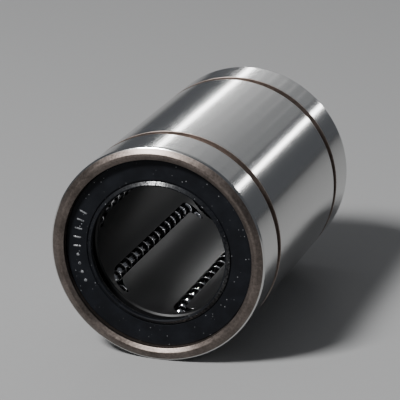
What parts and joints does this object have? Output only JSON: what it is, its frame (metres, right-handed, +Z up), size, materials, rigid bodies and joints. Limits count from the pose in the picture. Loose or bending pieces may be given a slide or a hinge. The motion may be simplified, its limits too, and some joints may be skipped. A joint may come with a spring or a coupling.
{
  "type": "linear ball bushing",
  "caption": "Closed, sealed linear ball bushing: a ground steel sleeve with snap-ring grooves, rubber end seals and recirculating ball rows that carry a round shaft.",
  "frame": {"origin": "middle of the bore, on its axis", "axes": "+Y along the bore from the front end to the rear end, +Z up, +X to the right seen from the front"},
  "size_m": [0.04, 0.059, 0.04],
  "materials": {
    "sleeve_steel": "ground satin barrel with a brownish heat tint on the grooves, chamfers and end faces",
    "plain_steel": "dull stamped steel",
    "ball_steel": "polished bearing steel",
    "cage_resin": "glossy black moulded resin",
    "seal_rubber": "near-black synthetic rubber with a faint sheen"
  },
  "bodies": {
    "housing": {"outer_sleeve": "sleeve_steel", "ball_cage": "cage_resin", "front_seal_rubber": "seal_rubber", "front_seal_core": "plain_steel", "front_retaining_ring": "plain_steel", "rear_seal_rubber": "seal_rubber", "rear_seal_core": "plain_steel", "rear_retaining_ring": "plain_steel"},
    "circuit_1_loaded_row": {"circuit_1_loaded_row": "ball_steel"},
    "circuit_1_return_row": {"circuit_1_return_row": "ball_steel"},
    "circuit_1_front_turn": {"circuit_1_front_turn": "ball_steel"},
    "circuit_1_rear_turn": {"circuit_1_rear_turn": "ball_steel"},
    "circuit_2_loaded_row": {"circuit_2_loaded_row": "ball_steel"},
    "circuit_2_return_row": {"circuit_2_return_row": "ball_steel"},
    "circuit_2_front_turn": {"circuit_2_front_turn": "ball_steel"},
    "circuit_2_rear_turn": {"circuit_2_rear_turn": "ball_steel"},
    "circuit_3_loaded_row": {"circuit_3_loaded_row": "ball_steel"},
    "circuit_3_return_row": {"circuit_3_return_row": "ball_steel"},
    "circuit_3_front_turn": {"circuit_3_front_turn": "ball_steel"},
    "circuit_3_rear_turn": {"circuit_3_rear_turn": "ball_steel"},
    "circuit_4_loaded_row": {"circuit_4_loaded_row": "ball_steel"},
    "circuit_4_return_row": {"circuit_4_return_row": "ball_steel"},
    "circuit_4_front_turn": {"circuit_4_front_turn": "ball_steel"},
    "circuit_4_rear_turn": {"circuit_4_rear_turn": "ball_steel"},
    "circuit_5_loaded_row": {"circuit_5_loaded_row": "ball_steel"},
    "circuit_5_return_row": {"circuit_5_return_row": "ball_steel"},
    "circuit_5_front_turn": {"circuit_5_front_turn": "ball_steel"},
    "circuit_5_rear_turn": {"circuit_5_rear_turn": "ball_steel"},
    "circuit_6_loaded_row": {"circuit_6_loaded_row": "ball_steel"},
    "circuit_6_return_row": {"circuit_6_return_row": "ball_steel"},
    "circuit_6_front_turn": {"circuit_6_front_turn": "ball_steel"},
    "circuit_6_rear_turn": {"circuit_6_rear_turn": "ball_steel"}
  },
  "joints": [
    {"name": "circuit_1_roll", "type": "slide", "parent": "housing", "child": "circuit_1_loaded_row", "axis": [0, 1, 0], "range_m": [-0.00159, 0.00159]},
    {"name": "circuit_1_return_roll", "type": "slide", "parent": "housing", "child": "circuit_1_return_row", "axis": [0, 1, 0], "range_m": [-0.00159, 0.00159]},
    {"name": "circuit_1_front_turn_roll", "type": "hinge", "parent": "housing", "child": "circuit_1_front_turn", "pos_m": [0.00961, -0.01908, 0.01058], "axis": [0.8078, 0, 0.5895], "range_deg": [-30.03, 30.03]},
    {"name": "circuit_1_rear_turn_roll", "type": "hinge", "parent": "housing", "child": "circuit_1_rear_turn", "pos_m": [0.00961, 0.01908, 0.01058], "axis": [0.8078, 0, 0.5895], "range_deg": [-30.03, 30.03]},
    {"name": "circuit_2_roll", "type": "slide", "parent": "housing", "child": "circuit_2_loaded_row", "axis": [0, 1, 0], "range_m": [-0.00159, 0.00159]},
    {"name": "circuit_2_return_roll", "type": "slide", "parent": "housing", "child": "circuit_2_return_row", "axis": [0, 1, 0], "range_m": [-0.00159, 0.00159]},
    {"name": "circuit_2_front_turn_roll", "type": "hinge", "parent": "housing", "child": "circuit_2_front_turn", "pos_m": [-0.00436, -0.01908, 0.01361], "axis": [-0.1066, 0, 0.9943], "range_deg": [-30.03, 30.03]},
    {"name": "circuit_2_rear_turn_roll", "type": "hinge", "parent": "housing", "child": "circuit_2_rear_turn", "pos_m": [-0.00436, 0.01908, 0.01361], "axis": [-0.1066, 0, 0.9943], "range_deg": [-30.03, 30.03]},
    {"name": "circuit_3_roll", "type": "slide", "parent": "housing", "child": "circuit_3_loaded_row", "axis": [0, 1, 0], "range_m": [-0.00159, 0.00159]},
    {"name": "circuit_3_return_roll", "type": "slide", "parent": "housing", "child": "circuit_3_return_row", "axis": [0, 1, 0], "range_m": [-0.00159, 0.00159]},
    {"name": "circuit_3_front_turn_roll", "type": "hinge", "parent": "housing", "child": "circuit_3_front_turn", "pos_m": [-0.01397, -0.01908, 0.00303], "axis": [-0.9144, 0, 0.4048], "range_deg": [-30.03, 30.03]},
    {"name": "circuit_3_rear_turn_roll", "type": "hinge", "parent": "housing", "child": "circuit_3_rear_turn", "pos_m": [-0.01397, 0.01908, 0.00303], "axis": [-0.9144, 0, 0.4048], "range_deg": [-30.03, 30.03]},
    {"name": "circuit_4_roll", "type": "slide", "parent": "housing", "child": "circuit_4_loaded_row", "axis": [0, 1, 0], "range_m": [-0.00159, 0.00159]},
    {"name": "circuit_4_return_roll", "type": "slide", "parent": "housing", "child": "circuit_4_return_row", "axis": [0, 1, 0], "range_m": [-0.00159, 0.00159]},
    {"name": "circuit_4_front_turn_roll", "type": "hinge", "parent": "housing", "child": "circuit_4_front_turn", "pos_m": [-0.00961, -0.01908, -0.01058], "axis": [-0.8078, 0, -0.5895], "range_deg": [-30.03, 30.03]},
    {"name": "circuit_4_rear_turn_roll", "type": "hinge", "parent": "housing", "child": "circuit_4_rear_turn", "pos_m": [-0.00961, 0.01908, -0.01058], "axis": [-0.8078, 0, -0.5895], "range_deg": [-30.03, 30.03]},
    {"name": "circuit_5_roll", "type": "slide", "parent": "housing", "child": "circuit_5_loaded_row", "axis": [0, 1, 0], "range_m": [-0.00159, 0.00159]},
    {"name": "circuit_5_return_roll", "type": "slide", "parent": "housing", "child": "circuit_5_return_row", "axis": [0, 1, 0], "range_m": [-0.00159, 0.00159]},
    {"name": "circuit_5_front_turn_roll", "type": "hinge", "parent": "housing", "child": "circuit_5_front_turn", "pos_m": [0.00436, -0.01908, -0.01361], "axis": [0.1066, 0, -0.9943], "range_deg": [-30.03, 30.03]},
    {"name": "circuit_5_rear_turn_roll", "type": "hinge", "parent": "housing", "child": "circuit_5_rear_turn", "pos_m": [0.00436, 0.01908, -0.01361], "axis": [0.1066, 0, -0.9943], "range_deg": [-30.03, 30.03]},
    {"name": "circuit_6_roll", "type": "slide", "parent": "housing", "child": "circuit_6_loaded_row", "axis": [0, 1, 0], "range_m": [-0.00159, 0.00159]},
    {"name": "circuit_6_return_roll", "type": "slide", "parent": "housing", "child": "circuit_6_return_row", "axis": [0, 1, 0], "range_m": [-0.00159, 0.00159]},
    {"name": "circuit_6_front_turn_roll", "type": "hinge", "parent": "housing", "child": "circuit_6_front_turn", "pos_m": [0.01397, -0.01908, -0.00303], "axis": [0.9144, 0, -0.4048], "range_deg": [-30.03, 30.03]},
    {"name": "circuit_6_rear_turn_roll", "type": "hinge", "parent": "housing", "child": "circuit_6_rear_turn", "pos_m": [0.01397, 0.01908, -0.00303], "axis": [0.9144, 0, -0.4048], "range_deg": [-30.03, 30.03]}
  ],
  "couplings": [
    {"joint": "circuit_1_return_roll", "follows": "circuit_1_roll", "ratio": -1},
    {"joint": "circuit_1_front_turn_roll", "follows": "circuit_1_roll", "rad_per_m": 329.31},
    {"joint": "circuit_1_rear_turn_roll", "follows": "circuit_1_roll", "rad_per_m": 329.31},
    {"joint": "circuit_2_return_roll", "follows": "circuit_2_roll", "ratio": -1},
    {"joint": "circuit_2_front_turn_roll", "follows": "circuit_2_roll", "rad_per_m": 329.31},
    {"joint": "circuit_2_rear_turn_roll", "follows": "circuit_2_roll", "rad_per_m": 329.31},
    {"joint": "circuit_3_return_roll", "follows": "circuit_3_roll", "ratio": -1},
    {"joint": "circuit_3_front_turn_roll", "follows": "circuit_3_roll", "rad_per_m": 329.31},
    {"joint": "circuit_3_rear_turn_roll", "follows": "circuit_3_roll", "rad_per_m": 329.31},
    {"joint": "circuit_4_return_roll", "follows": "circuit_4_roll", "ratio": -1},
    {"joint": "circuit_4_front_turn_roll", "follows": "circuit_4_roll", "rad_per_m": 329.31},
    {"joint": "circuit_4_rear_turn_roll", "follows": "circuit_4_roll", "rad_per_m": 329.31},
    {"joint": "circuit_5_return_roll", "follows": "circuit_5_roll", "ratio": -1},
    {"joint": "circuit_5_front_turn_roll", "follows": "circuit_5_roll", "rad_per_m": 329.31},
    {"joint": "circuit_5_rear_turn_roll", "follows": "circuit_5_roll", "rad_per_m": 329.31},
    {"joint": "circuit_6_return_roll", "follows": "circuit_6_roll", "ratio": -1},
    {"joint": "circuit_6_front_turn_roll", "follows": "circuit_6_roll", "rad_per_m": 329.31},
    {"joint": "circuit_6_rear_turn_roll", "follows": "circuit_6_roll", "rad_per_m": 329.31}
  ]
}
